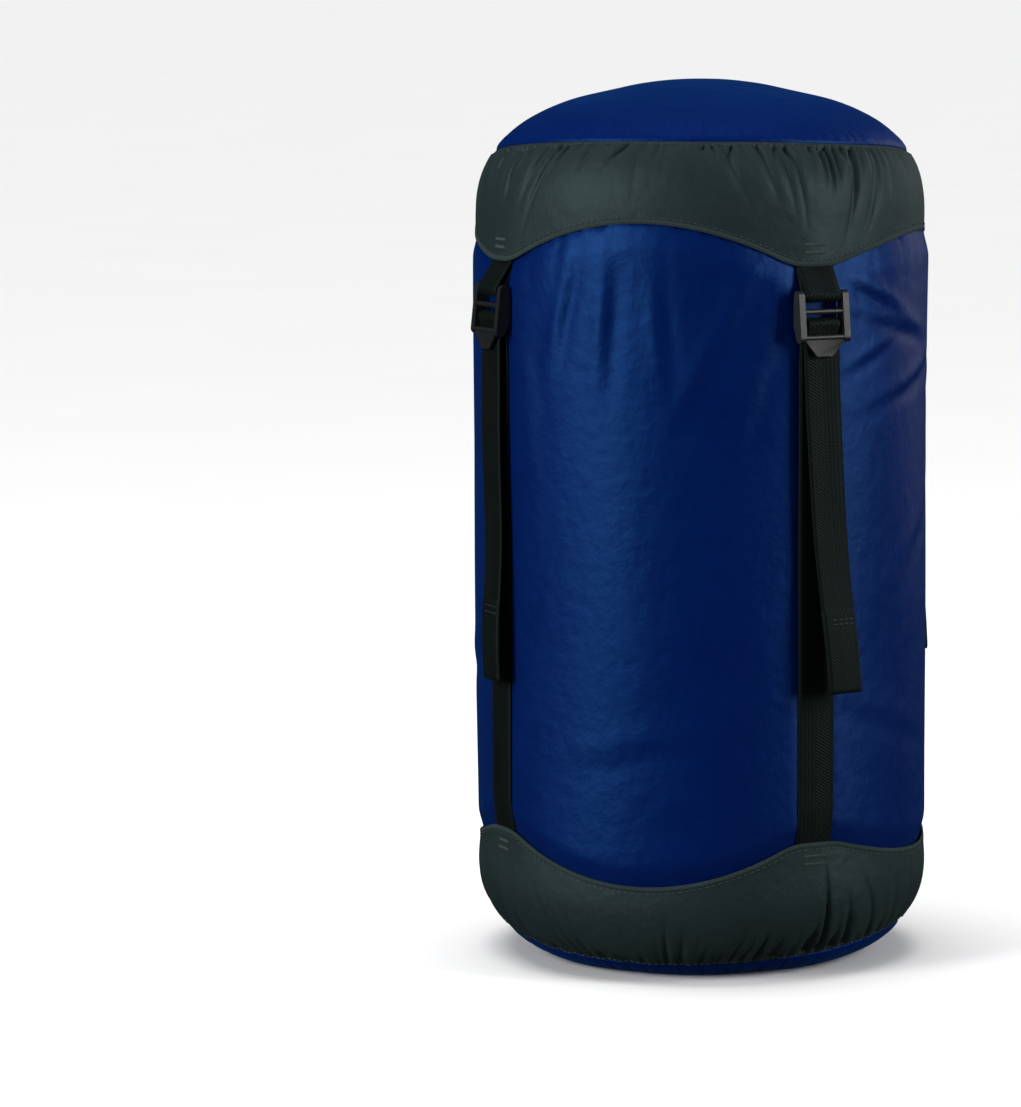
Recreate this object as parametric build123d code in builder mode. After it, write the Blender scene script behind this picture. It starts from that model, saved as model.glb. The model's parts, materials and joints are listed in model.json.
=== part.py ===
from build123d import *
import math
import os

# Compression sack: a fabric tube between a cap-shaped base and a cap-shaped lid.
# Four webbing straps rise from the base to ladder-lock buckles hung from the lid,
# and pulling the strap tails draws the lid down over the tube.
# Millimetres, +Z up, -Y is the front, origin at the middle of the underside.

# ---- driving dimensions ----
SACK_HEIGHT = 452.0        # full height, uncompressed
BODY_RADIUS = 117.5        # outer radius of the filled tube
CAP_WALL = 1.2             # padded-out thickness of the cap fabric
TUBE_WALL = 0.8            # thickness of the tube fabric
CLEARANCE = 0.3            # between soft pieces that aren't sewn together
SEAM_GAP = 0.05            # between pieces sewn face to face

# base cap
BASE_INSET = 1.2           # how far the cap's wall stays inside the tube's radius
BASE_ROUND = 40.3          # width of the rounded corner
BASE_CORNER = 48.0         # height of the rounded corner
BASE_POINT = 71.5          # height of the four hem points
BASE_FRONT_DIP = 20.8      # how far the front and rear arches sink below the points
BASE_SIDE_DIP = 12.7       # the same for the side arches

# lid cap
LID_INSET = 1.3            # how far the hem stays inside the tube's radius
SKIRT_TAPER = 2.2          # how much narrower the skirt is at the shoulder
LID_SHOULDER_DROP = 62.0   # drop from the top to the shoulder
LID_POINT_DROP = 89.0      # drop from the top to the four hem points
LID_FRONT_RISE = 21.7      # how far the front and rear arches rise above the points
LID_SIDE_RISE = 14.0       # the same for the side arches
LENS_TURN = 14.0           # angle of the top panel from the base panel

# shared pattern of both caps
LENS_TIP_INSET = 10.5      # from the tube's radius in to the tips of the end panels
LENS_SIDE_INSET = 23.5     # from the tube's radius in to the long sides of the end panels
HEM_TIP = 9.0              # flat left at each hem point, measured across the arch
BINDING_WIDTH = 4.5        # tape sewn round the hems
BINDING_STEP = 0.5         # how far the tape stands out

# tube
TUBE_SHOULDER = 16.0       # height over which the tube swells to full radius
MOUTH_DROP = 52.0          # drop from the top to the top edge of the tube
MOUTH_INSET = 8.5          # how much narrower the tube is at that edge
DRAWN_HOLE = 26.0          # radius of the mouth when it is drawn closed
COLLAR_DROP = 33.0         # drop from the top to the drawn mouth's edge
CHANNEL_RADIUS = 2.2       # section of the rolled drawcord channel
SEAM_TAPE_ARC = 6.0        # angle covered by the inner seam tape
LABEL_ARC = 8.3            # angle covered by the rear label
LABEL_HEIGHT = 32.0        # height of the rear label
LABEL_WALL = 0.5           # thickness of the rear label

# webbing and ladder-lock buckles
STRAP_ANGLES = {"front_left": -45.0, "front_right": 45.0, "rear_right": 135.0, "rear_left": 225.0}
WEBBING = 20.0             # width of all the webbing
WEBBING_THICK = 1.4
BASE_TUCK = 15.0           # webbing sewn under each base hem point
LID_TUCK = 10.0            # webbing sewn under each lid hem point
BUCKLE_HANG = 14.5         # the buckle's top bar below the lid's hem points
BUCKLE_REACH = 4.0         # top bar's centre, outside the tube's radius
BAR_RADIUS = 1.6
RAIL = 3.4                 # thickness of the buckle's side rails
RAIL_RADIUS = 2.6          # half depth of the rails
SLOT_SIDE = 0.9            # play between the webbing's edge and a rail
GRIP_DROP = 14.3           # grip bar below the top bar
THIN_BAR = 1.4             # radius of the ladder bar and the lift bar
LADDER_GAP = 1.7           # from the webbing over the grip bar up to the ladder bar
LIFT_PITCH = 6.4           # lift bar below the grip bar
LIFT_TAB = 9.3             # length of the lift tab below its bar
LIFT_TAB_THICK = 1.8
LIFT_TIP = 9.0             # width of the lift tab's tip
TAIL_GAP = 1.6             # from the strap out to the folded end of the tail
HINGE_GAP = 1.5            # from the lift tab down to where the tail starts to hang
TAIL_LENGTH = 168.0        # free end of the strap
TAIL_FOLD = 41.0           # folded and stitched end of the tail
BARTACK = 12.0             # length of one bar of stitching
BARTACK_WIDTH = 1.5
BARTACK_THICK = 0.6
BARTACK_PITCH = 4.0

# ---- derived sizes ----
BASE_RADIUS = BODY_RADIUS - BASE_INSET
BASE_INNER = BASE_RADIUS - CAP_WALL
BASE_FLAT = BASE_RADIUS - BASE_ROUND
LID_RADIUS = BODY_RADIUS - LID_INSET
LID_INNER = LID_RADIUS - CAP_WALL
LID_SHOULDER = LID_RADIUS - SKIRT_TAPER
LID_POINT = SACK_HEIGHT - LID_POINT_DROP
LID_SHOULDER_Z = SACK_HEIGHT - LID_SHOULDER_DROP
SKIRT_LEAN = SKIRT_TAPER / (LID_SHOULDER_Z - LID_POINT)
LENS_TIP = BODY_RADIUS - LENS_TIP_INSET
LENS_HALF_WIDTH = BODY_RADIUS - LENS_SIDE_INSET
HEM_CHORD = BODY_RADIUS / math.sqrt(2) - HEM_TIP
SWELL_START = BASE_POINT + BINDING_WIDTH
SWELL_END = SWELL_START + TUBE_SHOULDER
MOUTH_Z = SACK_HEIGHT - MOUTH_DROP
MOUTH_RADIUS = BODY_RADIUS - MOUTH_INSET
BUCKLE_Z = LID_POINT - BUCKLE_HANG
SLOT_HALF = WEBBING / 2 + SLOT_SIDE
TURN_RADIUS = BAR_RADIUS + CLEARANCE + WEBBING_THICK / 2
STRAP_REACH = CLEARANCE + WEBBING_THICK / 2
GRIP_REACH = STRAP_REACH + TURN_RADIUS
GRIP_Z = BUCKLE_Z - GRIP_DROP
STRAP_TOP = GRIP_Z - 2 * CLEARANCE
TAIL_REACH = STRAP_REACH + 1.5 * WEBBING_THICK + TAIL_GAP
LIFT_REACH = TAIL_REACH + WEBBING_THICK / 2 + CLEARANCE + THIN_BAR + 0.1
LIFT_Z = GRIP_Z - LIFT_PITCH
TAIL_Z = LIFT_Z - LIFT_TAB - HINGE_GAP
os.makedirs("parts", exist_ok=True)


def save(builder, name):
    """Label a finished piece and write it."""
    builder.part.label = name
    export_step(builder.part, f"parts/{name}.step")


def tucked_reach(inner_radius):
    """Place of flat webbing sewn under a cap of this inner radius, from the tube's surface."""
    flat = math.sqrt((inner_radius - SEAM_GAP) ** 2 - (WEBBING / 2) ** 2)
    return flat - WEBBING_THICK / 2 - BODY_RADIUS


TUBE_LOW = BODY_RADIUS + tucked_reach(BASE_INNER) - WEBBING_THICK / 2 - CLEARANCE
SEWN_END = (tucked_reach(LID_INNER - SKIRT_LEAN * LID_TUCK), LID_POINT + LID_TUCK)
TUBE_HIGH = BODY_RADIUS + SEWN_END[0] - WEBBING_THICK / 2 - CLEARANCE


def side_plane(angle):
    """Local x points outward from the tube's surface and local y points up."""
    a = math.radians(angle)
    foot = (BODY_RADIUS * math.sin(a), -BODY_RADIUS * math.cos(a), 0)
    return Plane(origin=foot, x_dir=(math.sin(a), -math.cos(a), 0),
                 z_dir=(-math.cos(a), -math.sin(a), 0))


def face_plane(angle, radius, height):
    """Local x runs along the tube's tangent, local y points up, and the normal outward."""
    a = math.radians(angle)
    foot = (radius * math.sin(a), -radius * math.cos(a), height)
    return Plane(origin=foot, x_dir=(math.cos(a), math.sin(a), 0),
                 z_dir=(math.sin(a), -math.cos(a), 0))


def beyond_hem(point_z, front_arch, side_arch, waste):
    """All the space past a wavy hem: waste is +1 for above the hem, -1 for below it."""
    with BuildPart() as space:
        for plane, arch in ((Plane.XZ, front_arch), (Plane.YZ, side_arch)):
            with BuildSketch(plane):
                with BuildLine():
                    ThreePointArc((-HEM_CHORD, point_z), (0, point_z + arch),
                                  (HEM_CHORD, point_z))
                    Line((HEM_CHORD, point_z), (-HEM_CHORD, point_z))
                make_face()
            extrude(amount=2 * BODY_RADIUS, both=True)
        with BuildSketch(Plane.XY.offset(point_z)):
            Circle(2 * BODY_RADIUS)
        extrude(amount=waste * SACK_HEIGHT)
    return space.part


def lens_prism(turn, low, height):
    """The upright prism that parts a lens-shaped end panel from the rest of a cap."""
    with BuildPart() as prism:
        with BuildSketch(Plane.XY.offset(low).rotated((0, 0, turn))):
            with BuildLine():
                ThreePointArc((-LENS_TIP, 0), (0, -LENS_HALF_WIDTH), (LENS_TIP, 0))
                ThreePointArc((LENS_TIP, 0), (0, LENS_HALF_WIDTH), (-LENS_TIP, 0))
            make_face()
        extrude(amount=height)
    return prism.part


def half_space(turn, side):
    """A block on one side of the upright plane through the lens tips."""
    with BuildPart() as block:
        with BuildSketch(Plane.XY.rotated((0, 0, turn))):
            with Locations((0, side * SACK_HEIGHT / 2)):
                Rectangle(2 * SACK_HEIGHT, SACK_HEIGHT)
        extrude(amount=SACK_HEIGHT + CAP_WALL)
    return block.part


def save_cap_panels(cap, turn, low, height, names):
    """Part one cap into its end panel, front panel and rear panel."""
    lens = lens_prism(turn, low, height)
    with BuildPart() as end_panel:
        add(cap)
        add(lens, mode=Mode.INTERSECT)
    save(end_panel, names[0])
    for name, side in ((names[1], -1), (names[2], 1)):
        with BuildPart() as panel:
            add(cap)
            add(lens, mode=Mode.SUBTRACT)
            add(half_space(turn, side), mode=Mode.INTERSECT)
        save(panel, name)


# ---- base cap: flat underside, rounded corner, short upright wall ----
past_base_hem = beyond_hem(BASE_POINT, -BASE_FRONT_DIP, -BASE_SIDE_DIP, 1)
past_base_cap = beyond_hem(BASE_POINT - BINDING_WIDTH, -BASE_FRONT_DIP, -BASE_SIDE_DIP, 1)

with BuildPart() as base_cap:
    with BuildSketch(Plane.XZ):
        with BuildLine():
            Line((0, 0), (BASE_FLAT, 0))
            EllipticalCenterArc((BASE_FLAT, BASE_CORNER), BASE_ROUND, BASE_CORNER, 270, arc_size=90)
            Line((BASE_RADIUS, BASE_CORNER), (BASE_RADIUS, SWELL_START))
            Line((BASE_RADIUS, SWELL_START), (BASE_INNER, SWELL_START))
            Line((BASE_INNER, SWELL_START), (BASE_INNER, BASE_CORNER))
            EllipticalCenterArc((BASE_FLAT, BASE_CORNER), BASE_ROUND - CAP_WALL,
                                BASE_CORNER - CAP_WALL, 270, arc_size=90)
            Line((BASE_FLAT, CAP_WALL), (0, CAP_WALL))
            Line((0, CAP_WALL), (0, 0))
        make_face()
    revolve(axis=Axis.Z)
    add(past_base_cap, mode=Mode.SUBTRACT)

save_cap_panels(base_cap.part, 0, -CAP_WALL, BASE_CORNER,
                ("base_bottom_panel", "base_front_panel", "base_rear_panel"))

with BuildPart() as base_hem_binding:
    with BuildSketch(Plane.XZ):
        with Locations(((BASE_INNER + BASE_RADIUS + BINDING_STEP) / 2, BASE_POINT / 2)):
            Rectangle(CAP_WALL + BINDING_STEP, BASE_POINT)
    revolve(axis=Axis.Z)
    add(past_base_cap, mode=Mode.INTERSECT)
    add(past_base_hem, mode=Mode.SUBTRACT)
save(base_hem_binding, "base_hem_binding")

# ---- lid cap: low dome that rolls over into a skirt ----
past_lid_hem = beyond_hem(LID_POINT, LID_FRONT_RISE, LID_SIDE_RISE, -1)
past_lid_cap = beyond_hem(LID_POINT + BINDING_WIDTH, LID_FRONT_RISE, LID_SIDE_RISE, -1)


def lid_curve(inset):
    """Dome and skirt line, moved inward by the inset; returns its two ends."""
    top = (0, SACK_HEIGHT - inset)
    crown = (0.56 * BODY_RADIUS, SACK_HEIGHT - 10.7 - inset)
    haunch = (0.885 * BODY_RADIUS - 0.7 * inset, SACK_HEIGHT - 32.0 - 0.7 * inset)
    shoulder = (LID_SHOULDER - inset, LID_SHOULDER_Z)
    hem = (LID_RADIUS - inset, LID_POINT)
    skirt_slope = (LID_RADIUS - LID_SHOULDER, LID_POINT - LID_SHOULDER_Z)
    Spline(top, crown, haunch, shoulder, tangents=[(1, 0), skirt_slope])
    Line(shoulder, hem)
    return top, hem


with BuildPart() as lid_cap:
    with BuildSketch(Plane.XZ):
        with BuildLine():
            outer_top, outer_hem = lid_curve(0)
            inner_top, inner_hem = lid_curve(CAP_WALL)
            Line(outer_top, inner_top)
            Line(outer_hem, inner_hem)
        make_face()
    revolve(axis=Axis.Z)
    add(past_lid_cap, mode=Mode.SUBTRACT)

save_cap_panels(lid_cap.part, LENS_TURN, LID_SHOULDER_Z, SACK_HEIGHT - LID_SHOULDER_Z + CAP_WALL,
                ("lid_top_panel", "lid_front_panel", "lid_rear_panel"))

with BuildPart() as lid_hem_binding:
    with BuildSketch(Plane.XZ):
        with BuildLine():
            Polyline((LID_SHOULDER - CAP_WALL, LID_SHOULDER_Z),
                     (LID_SHOULDER + BINDING_STEP, LID_SHOULDER_Z),
                     (LID_RADIUS + BINDING_STEP, LID_POINT), (LID_INNER, LID_POINT), close=True)
        make_face()
    revolve(axis=Axis.Z)
    add(past_lid_cap, mode=Mode.INTERSECT)
    add(past_lid_hem, mode=Mode.SUBTRACT)
save(lid_hem_binding, "lid_hem_binding")

# ---- tube: one open cylinder of thin fabric, tucked under both caps ----
NECK_Z = BUCKLE_Z + BAR_RADIUS
TUBE_LINE = [(TUBE_LOW, BASE_CORNER - 12), (TUBE_LOW, SWELL_START), (BODY_RADIUS, SWELL_END),
             (BODY_RADIUS, STRAP_TOP - 8), (TUBE_HIGH, NECK_Z), (TUBE_HIGH, LID_SHOULDER_Z - 10),
             (MOUTH_RADIUS, MOUTH_Z)]
tube_inner_line = [(r - TUBE_WALL, z) for r, z in reversed(TUBE_LINE)]

with BuildPart() as sack_tube:
    with BuildSketch(Plane.XZ):
        with BuildLine():
            Polyline(*TUBE_LINE, *tube_inner_line, close=True)
        make_face()
    revolve(axis=Axis.Z)
save(sack_tube, "sack_tube")

with BuildPart() as tube_seam_tape:
    with BuildSketch(Plane.YZ):
        tape_outer = BODY_RADIUS - TUBE_WALL - SEAM_GAP
        with Locations((tape_outer - TUBE_WALL / 2, (SWELL_END + STRAP_TOP - 8) / 2)):
            Rectangle(TUBE_WALL, STRAP_TOP - 8 - SWELL_END)
    revolve(axis=Axis.Z, revolution_arc=SEAM_TAPE_ARC)
save(tube_seam_tape, "tube_seam_tape")

LABEL_LOW = BASE_POINT - LABEL_HEIGHT / 4
label_line = [(TUBE_LOW, LABEL_LOW), (TUBE_LOW, SWELL_START), (BODY_RADIUS, SWELL_END),
              (BODY_RADIUS, LABEL_LOW + LABEL_HEIGHT)]
label_inner = [(r + SEAM_GAP, z) for r, z in label_line]
label_outer = [(r + SEAM_GAP + LABEL_WALL, z) for r, z in reversed(label_line)]
half_label = Plane.YZ.rotated((0, 0, -LABEL_ARC / 2))

with BuildPart() as rear_label:
    with BuildSketch(half_label):
        with BuildLine():
            Polyline(*label_inner, *label_outer, close=True)
        make_face()
    revolve(axis=Axis.Z, revolution_arc=LABEL_ARC)
save(rear_label, "rear_label")

# ---- drawn mouth: gathered collar with its rolled cord channel ----
COLLAR_EDGE_Z = SACK_HEIGHT - COLLAR_DROP
COLLAR_LINE = [(MOUTH_RADIUS - TUBE_WALL, MOUTH_Z + CLEARANCE),
               (0.85 * BODY_RADIUS, MOUTH_Z + 7.0), (0.51 * BODY_RADIUS, COLLAR_EDGE_Z - 4.0),
               (DRAWN_HOLE, COLLAR_EDGE_Z)]

with BuildPart() as mouth_collar:
    with BuildSketch(Plane.XZ):
        with BuildLine():
            Polyline(*COLLAR_LINE, *[(r, z + CAP_WALL) for r, z in reversed(COLLAR_LINE)],
                     close=True)
        make_face()
    revolve(axis=Axis.Z)
save(mouth_collar, "mouth_collar")

with BuildPart() as drawcord_channel:
    with BuildSketch(Plane.XZ):
        with Locations((DRAWN_HOLE - CHANNEL_RADIUS - SEAM_GAP, COLLAR_EDGE_Z)):
            Circle(CHANNEL_RADIUS)
    revolve(axis=Axis.Z)
save(drawcord_channel, "drawcord_channel")


# ---- straps: four stations, all alike ----
def save_base_strap(name, angle):
    """Webbing sewn under a base hem point, up the tube to just under the buckle."""
    tucked = tucked_reach(BASE_INNER)
    with BuildPart() as strap:
        with BuildSketch(side_plane(angle)):
            with BuildLine():
                Polyline((tucked, BASE_POINT - BASE_TUCK), (tucked, SWELL_START),
                         (STRAP_REACH, SWELL_END), (STRAP_REACH, STRAP_TOP))
            trace(line_width=WEBBING_THICK)
        extrude(amount=WEBBING / 2, both=True)
    save(strap, f"base_strap_{name}")


def save_lid_tab(name, angle):
    """Short webbing loop from under a lid hem point round the buckle's top bar."""
    bar = (BUCKLE_REACH, BUCKLE_Z)
    root = (tucked_reach(LID_INNER), LID_POINT - WEBBING_THICK)
    split = (root[0] + 0.45 * (bar[0] - root[0]), root[1] + 0.45 * (bar[1] - root[1]))
    with BuildPart() as tab:
        with BuildSketch(side_plane(angle)):
            with Locations(bar):
                Circle(BAR_RADIUS + CLEARANCE + WEBBING_THICK)
            with Locations(root):
                Circle(WEBBING_THICK / 2)
            make_hull()
            with BuildLine():
                Line(root, SEWN_END)
            trace(line_width=WEBBING_THICK)
        extrude(amount=WEBBING / 2, both=True)
        with BuildSketch(side_plane(angle)):
            with Locations(bar):
                Circle(BAR_RADIUS + CLEARANCE)
            with Locations(split):
                Circle(CLEARANCE)
            make_hull()
        extrude(amount=WEBBING, both=True, mode=Mode.SUBTRACT)
    save(tab, f"lid_tab_{name}")


def save_buckle(name, angle):
    """Ladder lock: two side rails, four cross bars and a lift tab."""
    top = (BUCKLE_REACH, BUCKLE_Z)
    turn_top = GRIP_Z + TURN_RADIUS + WEBBING_THICK / 2
    ladder = (BUCKLE_REACH + BAR_RADIUS, turn_top + LADDER_GAP + THIN_BAR)
    grip = (GRIP_REACH, GRIP_Z)
    lift = (LIFT_REACH, LIFT_Z)
    rail_foot = (LIFT_REACH - 0.9, LIFT_Z)
    lift_face = BODY_RADIUS + LIFT_REACH - LIFT_TAB_THICK / 2
    with BuildPart() as buckle:
        with BuildSketch(side_plane(angle)):
            with Locations(top, grip, rail_foot):
                Circle(RAIL_RADIUS)
            make_hull()
        extrude(amount=SLOT_HALF + RAIL, both=True)
        with BuildSketch(side_plane(angle)):
            with Locations((BUCKLE_REACH, BUCKLE_Z)):
                Rectangle(4 * WEBBING, 4 * WEBBING)
        extrude(amount=SLOT_HALF, both=True, mode=Mode.SUBTRACT)
        with BuildSketch(side_plane(angle)):
            with Locations(top, grip):
                Circle(BAR_RADIUS)
            with Locations(ladder, lift):
                Circle(THIN_BAR)
        extrude(amount=SLOT_HALF + RAIL / 2, both=True)
        with BuildSketch(face_plane(angle, lift_face, LIFT_Z)):
            with BuildLine():
                Polyline((-SLOT_HALF - RAIL / 2, 0), (SLOT_HALF + RAIL / 2, 0),
                         (LIFT_TIP / 2, -LIFT_TAB), (-LIFT_TIP / 2, -LIFT_TAB), close=True)
            make_face()
        extrude(amount=LIFT_TAB_THICK)
    save(buckle, f"buckle_{name}")


def save_strap_turn(name, angle):
    """The webbing where it doubles back over the buckle's grip bar."""
    with BuildPart() as turn:
        with BuildSketch(side_plane(angle)):
            with BuildLine():
                ThreePointArc((STRAP_REACH, GRIP_Z), (GRIP_REACH, GRIP_Z + TURN_RADIUS),
                              (GRIP_REACH + TURN_RADIUS, GRIP_Z))
                Polyline((GRIP_REACH + TURN_RADIUS, GRIP_Z), (TAIL_REACH, LIFT_Z),
                         (TAIL_REACH, TAIL_Z + WEBBING_THICK / 2 + CLEARANCE))
            trace(line_width=WEBBING_THICK)
        extrude(amount=WEBBING / 2, both=True)
    save(turn, f"strap_turn_{name}")


def save_strap_tail(name, angle):
    """Free end of the strap, folded back and stitched into a pull."""
    hinge = (TAIL_REACH, TAIL_Z)
    tip_z = TAIL_Z - TAIL_LENGTH
    with BuildPart() as tail:
        with BuildSketch(side_plane(angle)):
            with Locations(hinge):
                Circle(WEBBING_THICK / 2)
            with Locations((TAIL_REACH, (TAIL_Z + tip_z) / 2)):
                Rectangle(WEBBING_THICK, TAIL_LENGTH)
            with Locations((TAIL_REACH, tip_z + TAIL_FOLD / 2)):
                RectangleRounded(2 * WEBBING_THICK, TAIL_FOLD, WEBBING_THICK - 0.1)
        extrude(amount=WEBBING / 2, both=True)
    save(tail, f"strap_tail_{name}")


for station, angle in STRAP_ANGLES.items():
    save_base_strap(station, angle)
    save_lid_tab(station, angle)
    save_buckle(station, angle)
    save_strap_turn(station, angle)
    save_strap_tail(station, angle)


# ---- bars of stitching through each cap and the webbing under it ----
def save_bartacks(name, rows):
    """Pairs of stitched bars at the four stations; rows holds (height, cap radius) pairs."""
    with BuildPart() as bartacks:
        for angle in STRAP_ANGLES.values():
            for height, radius in rows:
                with BuildSketch(face_plane(angle, radius + SEAM_GAP, height)):
                    SlotOverall(BARTACK, BARTACK_WIDTH)
                extrude(amount=BARTACK_THICK)
    save(bartacks, name)


base_row = BASE_POINT - BINDING_WIDTH - BARTACK_PITCH / 2
save_bartacks("base_bartacks", [(base_row, BASE_RADIUS), (base_row - BARTACK_PITCH, BASE_RADIUS)])

lid_row = BINDING_WIDTH + BARTACK_PITCH / 2
save_bartacks("lid_bartacks", [(LID_POINT + rise, LID_RADIUS - SKIRT_LEAN * (rise - 1.0))
                               for rise in (lid_row, lid_row + BARTACK_PITCH)])
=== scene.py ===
"""Compression sack: sewn caps, fabric tube, webbing straps and ladder-lock buckles around the CAD frame."""
import json
import math

import bmesh
import bpy
import numpy as np
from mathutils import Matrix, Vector


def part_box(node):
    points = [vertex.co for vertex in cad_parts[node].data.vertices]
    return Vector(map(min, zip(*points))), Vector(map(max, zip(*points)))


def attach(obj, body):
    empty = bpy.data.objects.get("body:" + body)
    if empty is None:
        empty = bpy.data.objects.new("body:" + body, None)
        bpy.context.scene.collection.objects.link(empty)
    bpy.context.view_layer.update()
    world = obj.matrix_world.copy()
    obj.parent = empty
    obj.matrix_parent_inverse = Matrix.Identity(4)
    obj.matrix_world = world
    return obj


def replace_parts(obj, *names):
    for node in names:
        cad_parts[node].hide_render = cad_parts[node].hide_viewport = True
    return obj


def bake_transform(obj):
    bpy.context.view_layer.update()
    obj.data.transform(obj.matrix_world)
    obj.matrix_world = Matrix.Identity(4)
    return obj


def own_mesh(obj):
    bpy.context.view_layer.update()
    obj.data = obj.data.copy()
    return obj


bl_info = {
    "name": "Compression Sack",
    "version": (1, 0, 0),
    "blender": (4, 5, 0),
    "location": "3D View > Sidebar > Sack",
    "description": "Builds the fabric, webbing, buckles and stitching of a compression sack",
    "category": "Object",
}

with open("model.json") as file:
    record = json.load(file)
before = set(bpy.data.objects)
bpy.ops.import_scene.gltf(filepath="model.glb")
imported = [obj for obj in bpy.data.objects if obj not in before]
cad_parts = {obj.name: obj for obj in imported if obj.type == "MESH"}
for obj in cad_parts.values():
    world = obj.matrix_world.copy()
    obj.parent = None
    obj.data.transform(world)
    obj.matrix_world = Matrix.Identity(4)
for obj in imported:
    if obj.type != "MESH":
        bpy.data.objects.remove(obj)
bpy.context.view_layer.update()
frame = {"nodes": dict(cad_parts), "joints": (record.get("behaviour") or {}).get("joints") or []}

MM = 0.001
# Angle of each strap in degrees, from the front towards the right.
STATIONS = {"front_left": -45.0, "front_right": 45.0, "rear_right": 135.0, "rear_left": 225.0}
TUBE_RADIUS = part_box("sack_tube")[1].x
TUBE_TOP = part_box("sack_tube")[1].z
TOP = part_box("lid_top_panel")[1].z
BASE_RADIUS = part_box("base_front_panel")[1].x
BASE_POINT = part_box("base_hem_binding")[1].z
LID_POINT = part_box("lid_hem_binding")[0].z
LENS_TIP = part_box("base_bottom_panel")[1].x
# The fabric's seam lies this far outside the long sides of the CAD lens panels.
SEAM_OUTSIDE = 3.0 * MM
LENS_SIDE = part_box("base_bottom_panel")[1].y + SEAM_OUTSIDE
JOINTS = {j["name"]: j for j in frame["joints"]}
TRAVEL = JOINTS["lid_slide"]["range_m"][1]
# Heights of the bar that holds a lid tab, and of the place where a tail leaves its buckle.
BAR_Z = JOINTS["buckle_hinge_front_right"]["pos_m"][2]
TAIL_Z = JOINTS["tail_hinge_front_right"]["pos_m"][2]
TAIL_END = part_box("strap_tail_front_right")[0].z
STRAP_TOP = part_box("base_strap_front_right")[1].z
STRAP_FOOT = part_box("base_strap_front_right")[0].z
# Points across one face of the webbing, and rows along a free tail.
FACE_POINTS = 11
TAIL_ROWS = 150


# ---- sizes and colours that a user would change ----
def metres(name, about, default):
    """A length property."""
    return bpy.props.FloatProperty(name=name, description=about, default=default, min=0.0,
                                   precision=5, subtype="DISTANCE", unit="LENGTH")


def paint(name, about, default):
    """A linear colour property."""
    return bpy.props.FloatVectorProperty(name=name, description=about, default=default, size=3,
                                         min=0.0, max=1.0, subtype="COLOR")


class SackSizes(bpy.types.PropertyGroup):
    """Sizes of the sewn parts."""
    fabric: metres("Fabric", "Thickness of the cap and tube fabric", 0.6 * MM)
    webbing: metres("Webbing", "Width of the webbing", 20.0 * MM)
    webbing_thick: metres("Webbing thickness", "Thickness of the webbing", 1.4 * MM)
    gather_depth: metres("Gather depth", "Depth of the gathers below the lens seams", 5.0 * MM)
    seam_tuck: metres("Seam tuck", "How far the fabric dips at a lens seam", 1.5 * MM)
    binding: metres("Binding", "Width of the folded tape on the hems", 2.8 * MM)
    binding_thick: metres("Binding thickness", "Thickness of the folded tape", 1.3 * MM)
    fold: metres("Tail fold", "Length of the doubled end of a strap tail", 41.0 * MM)
    stitch: metres("Stitch", "Length of one stitch", 2.6 * MM)
    stitch_pitch: metres("Stitch pitch", "Distance from stitch to stitch", 3.4 * MM)
    thread: metres("Thread", "Thickness of the sewing thread", 0.45 * MM)
    gather_count: bpy.props.IntProperty(name="Gathers", default=120, min=8,
                                        description="Gathers round one cap")
    seed: bpy.props.IntProperty(name="Seed", default=7, description="Seed of folds and creases")


class SackColours(bpy.types.PropertyGroup):
    """Colours of the fabrics and fittings. Each deep colour is mixed with its main colour by surface noise,
    not laid in the folds.
    """
    blue: paint("Blue nylon", "Tube and lens panels", (0.0005, 0.0095, 0.088))
    blue_deep: paint("Blue nylon, deep", "Tube and lens panels in the folds", (0.0003, 0.0056, 0.060))
    charcoal: paint("Charcoal nylon", "Front and rear cap panels", (0.018, 0.029, 0.030))
    charcoal_deep: paint("Charcoal nylon, deep", "Cap panels in the folds", (0.0090, 0.0160, 0.0165))
    webbing: paint("Webbing", "Straps and tabs", (0.0022, 0.0040, 0.0037))
    tape: paint("Binding tape", "Hem tape and drawcord channel", (0.0230, 0.0350, 0.0360))
    plastic: paint("Buckle", "Moulded buckle", (0.0065, 0.0075, 0.0085))
    thread: paint("Thread", "Sewing thread", (0.022, 0.032, 0.032))
    label: paint("Label", "Woven label ground", (0.008, 0.009, 0.011))
    motif: paint("Label motif", "Plain bars on the label", (0.02, 0.17, 0.21))


class StageSettings(bpy.types.PropertyGroup):
    """Camera placement and lens."""
    azimuth: bpy.props.FloatProperty(name="Azimuth", default=math.radians(15.5), subtype="ANGLE",
                                     description="Camera direction, from the front to the right")
    distance: metres("Distance", "From the sack's axis to the camera", 2.6)
    height: metres("Height", "Camera height", 0.53)
    pitch: bpy.props.FloatProperty(name="Pitch", default=math.radians(7.1), subtype="ANGLE",
                                   description="How far the camera looks down")
    lens: bpy.props.FloatProperty(name="Lens", default=163.5, subtype="DISTANCE_CAMERA",
                                  description="Focal length in millimetres")
    shift: bpy.props.FloatProperty(name="Shift", default=-0.172,
                                   description="Sideways lens shift that frames the sack")


# ---- shape of the sack ----
def smoothstep(x, low, high):
    """0 below low, 1 above high, and a smooth ramp between."""
    t = np.clip((x - low) / (high - low), 0.0, 1.0)
    return t * t * (3 - 2 * t)


def angle_gap(phi, centre):
    """Signed angle from centre to phi, at most half a turn."""
    return (phi - centre + math.pi) % math.tau - math.pi


def run_along(line):
    """Distance along a line of points, at each point."""
    return np.r_[0, np.cumsum(np.linalg.norm(np.diff(line, axis=0), axis=1))]


def direction_along(line):
    """Unit direction of a line of points, at each point."""
    slope = np.gradient(line, axis=0)
    return slope / np.linalg.norm(slope, axis=1)[:, None]


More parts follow.
